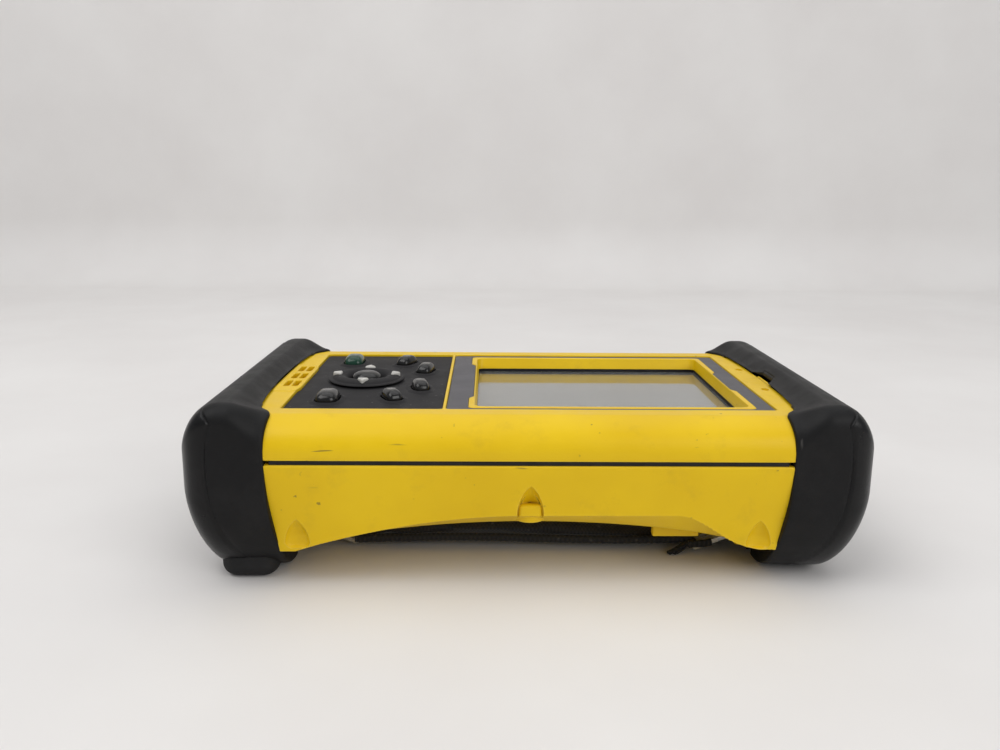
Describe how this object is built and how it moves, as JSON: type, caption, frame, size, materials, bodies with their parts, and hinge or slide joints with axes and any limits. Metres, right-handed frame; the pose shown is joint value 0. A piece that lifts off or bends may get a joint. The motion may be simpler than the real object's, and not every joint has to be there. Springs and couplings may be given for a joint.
{
  "type": "rugged field data collector",
  "caption": "Rugged handheld field computer with a colour screen, round direction pad and keys, rubber end boots and a padded hand strap.",
  "frame": {"origin": "on the resting plane, under the middle of the case's footprint, lying on its back", "axes": "+Z out of the screen, +X from the battery boot to the card cap, +Y across the screen"},
  "size_m": [0.165, 0.095, 0.045],
  "materials": {
    "yellow_case": "satin moulded, faint scuffs",
    "seal_rubber": "matt",
    "black_overlay": "fine texture",
    "grey_overlay": "fine texture",
    "glass": "clear, polished",
    "lcd": "smooth",
    "steel": "plain",
    "hook_steel": "plated",
    "board": "satin solder mask",
    "chip": "matt",
    "black_plastic": "satin",
    "ribbon": "smooth film",
    "strap": "woven cover over foam",
    "webbing": "flat weave",
    "boot_rubber": "satin",
    "foot_rubber": "matt",
    "cell": "smooth sleeve",
    "brass": "plain",
    "green_key": "glossy",
    "black_key": "glossy",
    "pale_mark": "matt"
  },
  "bodies": {
    "case": {"front_case": "yellow_case", "back_case": "yellow_case", "case_gasket": "seal_rubber", "keypad_overlay": "black_overlay", "bezel_overlay": "grey_overlay", "touch_glass": "glass", "screen_gasket": "seal_rubber", "lcd_panel": "lcd", "lcd_frame": "steel", "main_board": "board", "board_chips": "chip", "keypad_board": "board", "key_domes": "steel", "speaker": "black_plastic", "microphone": "steel", "card_socket_upper": "black_plastic", "card_socket_lower": "black_plastic", "backup_cell": "steel", "case_screws": "steel", "board_screws": "steel", "lcd_ribbon": "ribbon", "keypad_ribbon": "ribbon", "contact_block": "black_plastic", "boot_seals": "seal_rubber", "strap_pins": "steel", "strap_pad": "strap", "strap_webbing": "webbing", "strap_tail": "webbing", "strap_hooks": "hook_steel"},
    "battery_end": {"battery_boot": "boot_rubber", "battery_cells": "cell", "battery_contacts": "steel", "boot_feet": "foot_rubber", "boot_screws": "steel", "port_board": "board", "serial_shell": "steel", "serial_pins": "brass", "jack_posts": "brass", "usb_socket": "steel", "power_jack": "black_plastic"},
    "card_end": {"card_cap": "boot_rubber", "cap_screws": "steel"},
    "ring_rocker": {"pad_rocker": "black_plastic"},
    "ring": {"direction_ring": "black_key", "arrow_marks": "pale_mark"},
    "enter": {"enter_key": "black_key"},
    "power_key_button": {"power_key": "green_key"},
    "start_key_button": {"start_key": "black_key"},
    "app_key_1_button": {"app_key_1": "black_key"},
    "app_key_2_button": {"app_key_2": "black_key"},
    "app_key_3_button": {"app_key_3": "black_key"},
    "app_key_4_button": {"app_key_4": "black_key"}
  },
  "joints": [
    {"name": "battery_boot_removal", "type": "slide", "parent": "case", "child": "battery_end", "axis": [-1, 0, 0], "range_m": [0, 0.03]},
    {"name": "card_cap_removal", "type": "slide", "parent": "case", "child": "card_end", "axis": [1, 0, 0], "range_m": [0, 0.03]},
    {"name": "ring_roll", "type": "hinge", "parent": "case", "child": "ring_rocker", "pos_m": [-0.0436, 0, 0.0376], "axis": [1, 0, 0], "range_deg": [-1.5, 1.5], "stiffness_Nm_per_rad": 0.05},
    {"name": "ring_pitch", "type": "hinge", "parent": "ring_rocker", "child": "ring", "pos_m": [-0.0436, 0, 0.0376], "axis": [0, 1, 0], "range_deg": [-1.5, 1.5], "stiffness_Nm_per_rad": 0.05},
    {"name": "enter_press", "type": "slide", "parent": "case", "child": "enter", "axis": [0, 0, -1], "range_m": [0, 0.0006], "stiffness_N_per_m": 1500},
    {"name": "power_key_press", "type": "slide", "parent": "case", "child": "power_key_button", "axis": [0, 0, -1], "range_m": [0, 0.0006], "stiffness_N_per_m": 1500},
    {"name": "start_key_press", "type": "slide", "parent": "case", "child": "start_key_button", "axis": [0, 0, -1], "range_m": [0, 0.0006], "stiffness_N_per_m": 1500},
    {"name": "app_key_1_press", "type": "slide", "parent": "case", "child": "app_key_1_button", "axis": [0, 0, -1], "range_m": [0, 0.0006], "stiffness_N_per_m": 1500},
    {"name": "app_key_2_press", "type": "slide", "parent": "case", "child": "app_key_2_button", "axis": [0, 0, -1], "range_m": [0, 0.0006], "stiffness_N_per_m": 1500},
    {"name": "app_key_3_press", "type": "slide", "parent": "case", "child": "app_key_3_button", "axis": [0, 0, -1], "range_m": [0, 0.0006], "stiffness_N_per_m": 1500},
    {"name": "app_key_4_press", "type": "slide", "parent": "case", "child": "app_key_4_button", "axis": [0, 0, -1], "range_m": [0, 0.0006], "stiffness_N_per_m": 1500}
  ]
}
